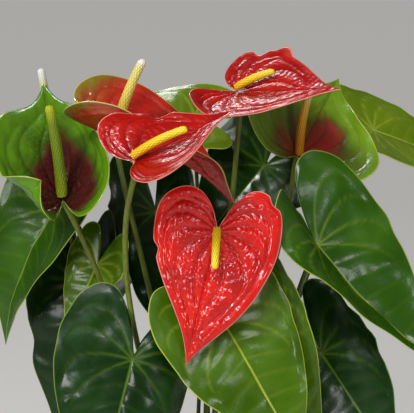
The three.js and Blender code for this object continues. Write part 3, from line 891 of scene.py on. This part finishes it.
def makeSpadix(name, settings, pole):
    look = spadixLook
    base, tip, axis, radius = readSpadix("spadix_" + name, pole)
    base = base - axis * look["sink"] * mm
    length = np.linalg.norm(tip - base)
    across = np.cross(axis, [0, 0, 1.0])
    across /= np.linalg.norm(across)
    outward = np.cross(across, axis)
    roundTip = radius / length  # the share of the length that the round end takes
    t = np.linspace(0, 1, look["rows"])
    shank = t[:-look["tipRows"]] * (1 - roundTip) / t[-look["tipRows"] - 1]
    dome = 1 - roundTip + roundTip * np.sin(np.linspace(0, math.pi / 2, look["tipRows"] + 1)[1:])
    station = np.concatenate([shank, dome])
    width = np.interp(station, [0, 0.06, 0.2, 0.6, 1], [0.86, 0.98, 1, 0.94, 0.8])
    cap = np.clip((station - (1 - roundTip)) / roundTip, 0, 1)
    width = (width * np.sqrt(np.clip(1 - cap ** 2, 0, 1)))[:, None]
    turn = np.linspace(0, 2 * math.pi, look["around"] + 1)
    height = (station * length / mm)[:, None]
    pitch = 2 * math.pi * radius / mm / settings["columns"] * look["beadStretch"]
    rightSpiral = settings["columns"] * turn[None] + math.pi * height / pitch
    leftSpiral = settings["columns"] * turn[None] - math.pi * height / pitch
    bead = np.abs(np.cos(rightSpiral / 2) * np.cos(leftSpiral / 2)) ** 0.6
    ring = radius * width + look["bead"] * mm * (bead - 0.5) * np.clip(width * 3, 0, 1)
    ring[-1] = 0
    bow = settings["bend"] * mm * 4 * (station - station ** 2)
    centre = base + axis * (station * length)[:, None] + outward * bow[:, None]
    circle = np.cos(turn)[:, None] * across + np.sin(turn)[:, None] * outward
    places = centre[:, None] + ring[:, :, None] * circle[None]
    marks = {"along": np.repeat(station[:, None], len(turn), axis=1), "bead": bead}
    piece = meshFromGrid("spadix_" + name + "_grown", places, marks)
    bpy.ops.object.mode_set(mode="EDIT")
    bpy.ops.mesh.select_all(action="DESELECT")
    bpy.ops.mesh.select_non_manifold(extend=False)
    bpy.ops.mesh.fill()
    bpy.ops.object.mode_set(mode="OBJECT")
    faceOutwards()
    finishPiece(piece, [settings["material"]], "spadix_tissue", "spadix_" + name)


for name, settings in spadices.items():
    makeSpadix(name, settings, poles[name][0])
print("spadices made:", len(spadices))

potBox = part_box("pot")
pot = {
    "height": potBox[1].z, "topRadius": potBox[1].x, "footRadius": 61 * mm, "wall": 2.2 * mm, "floor": 3 * mm,
    "band": 14 * mm, "step": 2.5 * mm, "round": 0.5 * mm, "footRound": 4 * mm, "sides": 96,
    "drainRadius": 5 * mm, "drainCircle": 44 * mm, "drainHoles": 8, "drainSides": 24, "sharpAngle": 35,
}


# injection-moulded polypropylene: satin, a faint orange peel and a few scuffs
def mouldedPlastic(name, base, scuff):
    material, shader = newMaterial(name)
    place = addNode(material, "TexCoord").outputs["Object"]
    cloud = addNode(material, "TexNoise", {"Vector": place, "Scale": 14, "Detail": 5}).outputs["Fac"]
    worn = addNode(material, "MapRange", {"Value": cloud, "From Min": 0.45, "From Max": 0.75}).outputs["Result"]
    color = addNode(material, "Mix", {
        "Factor": worn, 6: linearColor(base), 7: linearColor(scuff),
    }, data_type="RGBA").outputs[2]
    peel = addNode(material, "TexNoise", {"Vector": place, "Scale": 900, "Detail": 2}).outputs["Fac"]
    bump = addNode(material, "Bump", {"Height": peel, "Strength": 0.25, "Distance": 0.0001}).outputs["Normal"]
    rough = addNode(material, "MapRange", {"Value": worn, "To Min": 0.42, "To Max": 0.58}).outputs["Result"]
    setInputs(material, shader, {"Base Color": color, "Roughness": rough, "Normal": bump, "IOR": 1.49})
    return material


# moist peat mix: matt, dark crumbs with paler fibres
def moistPeat(name, dark, light):
    material, shader = newMaterial(name)
    place = addNode(material, "TexCoord").outputs["Object"]
    crumb = addNode(material, "TexVoronoi", {"Vector": place, "Scale": 380}).outputs["Distance"]
    cloud = addNode(material, "TexNoise", {"Vector": place, "Scale": 160, "Detail": 6}).outputs["Fac"]
    ramp = addNode(material, "ValToRGB", {"Fac": cloud})
    setStops(ramp, [(0.35, dark), (0.7, light)])
    bump = addNode(material, "Bump", {"Height": crumb, "Strength": 0.8, "Distance": 0.001}).outputs["Normal"]
    setInputs(material, shader, {"Base Color": ramp.outputs["Color"], "Normal": bump, "Roughness": 0.92})
    return material


plastic = mouldedPlastic("moulded_terracotta_polypropylene", "#6e3a26", "#85503a")
peat = moistPeat("moist_peat_mix", "#1c120c", "#4a3423")


# grows the open edge of the pot from one ring to the next, as (radius, height) steps
def growRings(steps, fromRadius):
    radius = fromRadius
    for nextRadius, rise in steps:
        bpy.ops.mesh.extrude_region_move(TRANSFORM_OT_translate={"value": (0, 0, rise)})
        scale = nextRadius / radius
        bpy.ops.transform.resize(value=(scale, scale, 1), center_override=(0, 0, 0))
        radius = nextRadius


def makePot():
    slope = (pot["topRadius"] - pot["step"] - pot["footRadius"]) / pot["height"]
    bandFoot = pot["height"] - pot["band"]
    foot, lip = pot["footRound"], pot["round"]
    startRadius = pot["footRadius"] - 2 * lip

    def wallAt(height):
        return pot["footRadius"] + slope * height

    bpy.ops.mesh.primitive_circle_add(vertices=pot["sides"], radius=startRadius, fill_type="NGON")
    piece = nameAdded("nursery_pot")
    bpy.ops.object.mode_set(mode="EDIT")
    bpy.ops.mesh.select_all(action="SELECT")
    innerTop = pot["topRadius"] - pot["step"]
    growRings([
        (wallAt(foot / 4), foot / 4),
        (wallAt(foot), foot * 3 / 4),
        (wallAt(bandFoot / 2), bandFoot / 2 - foot),
        (wallAt(bandFoot), bandFoot / 2),
        (wallAt(bandFoot) + pot["step"] - 0.4 * mm, 0),
        (wallAt(bandFoot) + pot["step"], lip),
        (pot["topRadius"] - 0.1 * mm, pot["band"] - 2 * lip),
        (pot["topRadius"] - 0.6 * mm, lip),
        (innerTop + 0.6 * mm, 0),
        (innerTop, -lip),
        (wallAt(bandFoot) - pot["wall"], -pot["band"] + lip),
        (wallAt(pot["floor"]) - pot["wall"], pot["floor"] - bandFoot),
        (pot["drainCircle"], 0),
    ], startRadius)
    bpy.ops.object.mode_set(mode="OBJECT")
    faceOutwards()
    return piece


piece = makePot()
piece.data.update()
for i in range(pot["drainHoles"]):
    angle = (i + 0.5) * 2 * math.pi / pot["drainHoles"]
    bpy.ops.object.select_all(action="DESELECT")
    bpy.ops.mesh.primitive_cylinder_add(
        vertices=pot["drainSides"], radius=pot["drainRadius"], depth=4 * pot["floor"],
        location=(pot["drainCircle"] * math.cos(angle), pot["drainCircle"] * math.sin(angle), 0),
    )
    drill = bpy.context.object
    bpy.context.view_layer.objects.active = piece
    cut = piece.modifiers.new("drain", "BOOLEAN")
    cut.object = drill
    cut.operation = "DIFFERENCE"
    bpy.ops.object.modifier_apply(modifier="drain")
    bpy.data.objects.remove(drill)
finishPiece(piece, [plastic], "pot_plastic", "pot")
selectOnly(piece)
bpy.ops.object.shade_smooth_by_angle(angle=math.radians(pot["sharpAngle"]))
piece.select_set(False)
print("pot made")


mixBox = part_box("potting_mix")
mix = {"rows": 60, "around": 160, "gap": 0.3, "drop": 1, "crumbSize": 4.2, "crumbDepth": 1.6, "heaps": 0.8,
       "sink": 1.2, "footShare": 0.76}  # in mm; footShare is the foot's width against the top's


def makeMix():
    radius = mixBox[1].x - mix["gap"] * mm
    rows, columns = mix["rows"], mix["around"] + 1
    reach = np.linspace(0, 1, rows)
    turn = np.linspace(0, 2 * math.pi, columns)
    flat = reach[:, None, None] * radius * np.stack([np.cos(turn), np.sin(turn)], axis=1)[None]
    flat[:, -1] = flat[:, 0]
    points = flat.reshape(-1, 2) / mm
    crumbs = -np.exp(-blisters(points, mix["crumbSize"], 8) / 0.9) * mix["crumbDepth"]
    crumbs += mix["heaps"] * softHills(points, 9, 2)
    rise = (crumbs.reshape(rows, columns) - mix["sink"]) * mm
    rise[:, -1] = rise[:, 0]
    rise *= np.clip((1 - reach) / 0.04, 0, 1)[:, None]
    top = np.concatenate([flat, (mixBox[1].z - mix["drop"] * mm + rise)[:, :, None]], axis=2)
    foot = top[-1:].copy()
    foot[:, :, :2] *= mix["footShare"]
    foot[:, :, 2] = mixBox[0].z
    centre = np.zeros_like(foot)
    centre[:, :, 2] = mixBox[0].z
    piece = meshFromGrid("potting_mix_settled", np.concatenate([top, foot, centre]), {})
    faceOutwards()
    finishPiece(piece, [peat], "peat", "potting_mix")


makeMix()
print("mix made")


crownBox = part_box("crown")
crown = {"sides": 48, "inset": 1, "cuts": 3, "ridges": 9, "ridge": 0.05, "rough": 0.02}  # inset in mm


def makeCrown():
    bpy.ops.object.select_all(action="DESELECT")
    bpy.ops.mesh.primitive_cylinder_add(
        vertices=crown["sides"], radius=crownBox[1].x - crown["inset"] * mm, depth=crownBox[1].z - crownBox[0].z,
        location=(0, 0, (crownBox[1].z + crownBox[0].z) / 2),
    )
    piece = nameAdded("crown_grown")
    bpy.ops.object.transform_apply(location=True, rotation=True, scale=True)
    bpy.ops.object.mode_set(mode="EDIT")
    bpy.ops.mesh.select_all(action="SELECT")
    bpy.ops.mesh.subdivide(number_cuts=crown["cuts"])
    bpy.ops.object.mode_set(mode="OBJECT")
    rng = random.Random(4)
    for v in piece.data.vertices:
        turn = math.atan2(v.co.y, v.co.x)
        swell = 1 + crown["ridge"] * math.sin(crown["ridges"] * turn + 120 * v.co.z) - crown["rough"] * rng.random()
        v.co.x *= swell
        v.co.y *= swell
    finishPiece(piece, [juicyStalk("ringed_crown_grown", "#4a3a1c", "#6f7a2c")], "stem_tissue", "crown")


makeCrown()
print("crown made")

floor = {"size": 60, "color": "#e4e2de"}
bpy.ops.object.select_all(action="DESELECT")
bpy.ops.mesh.primitive_plane_add(size=floor["size"], location=(0, 0, -0.2 * mm))
bpy.context.object.name = "floor"
floorMaterial, shader = newMaterial("pale_matt_paper")
setInputs(floorMaterial, shader, {"Base Color": linearColor(floor["color"]), "Roughness": 0.9})
bpy.context.object.data.materials.append(floorMaterial)

# a soft sun from the upper left, three soft boxes in front whose reflections draw the puckers and ribs, one behind
sun = {"place": (-0.9, -1.1, 1.9), "strength": 1.8, "angle": 12}
lights = [
    {"place": (-0.76, -1.17, 0.7), "size": 0.26, "power": 4},
    {"place": (-0.15, -1.1, 1.35), "size": 0.28, "power": 6},
    {"place": (0.71, -1.29, 0.83), "size": 0.3, "power": 3.5},
    {"place": (-0.25, 0.9, 1.35), "size": 0.26, "power": 3},
]
aim = Vector((0, 0, 0.45))


def aimLight(lamp):
    lamp.rotation_euler = (aim - lamp.location).to_track_quat("-Z", "Y").to_euler()


bpy.ops.object.light_add(type="SUN", location=sun["place"])
bpy.context.object.data.energy = sun["strength"]
bpy.context.object.data.angle = math.radians(sun["angle"])
aimLight(bpy.context.object)
for light in lights:
    bpy.ops.object.light_add(type="AREA", location=light["place"])
    bpy.context.object.data.size = light["size"]
    bpy.context.object.data.energy = light["power"]
    aimLight(bpy.context.object)

room = {"color": "#e6e8ea", "strength": 0.15}
world = bpy.data.worlds.new("soft_studio")
bpy.context.scene.world = world
world.use_nodes = True
background = world.node_tree.nodes["Background"]
setInputs(world, background, {"Color": linearColor(room["color"]), "Strength": room["strength"]})
print("floor and light made")
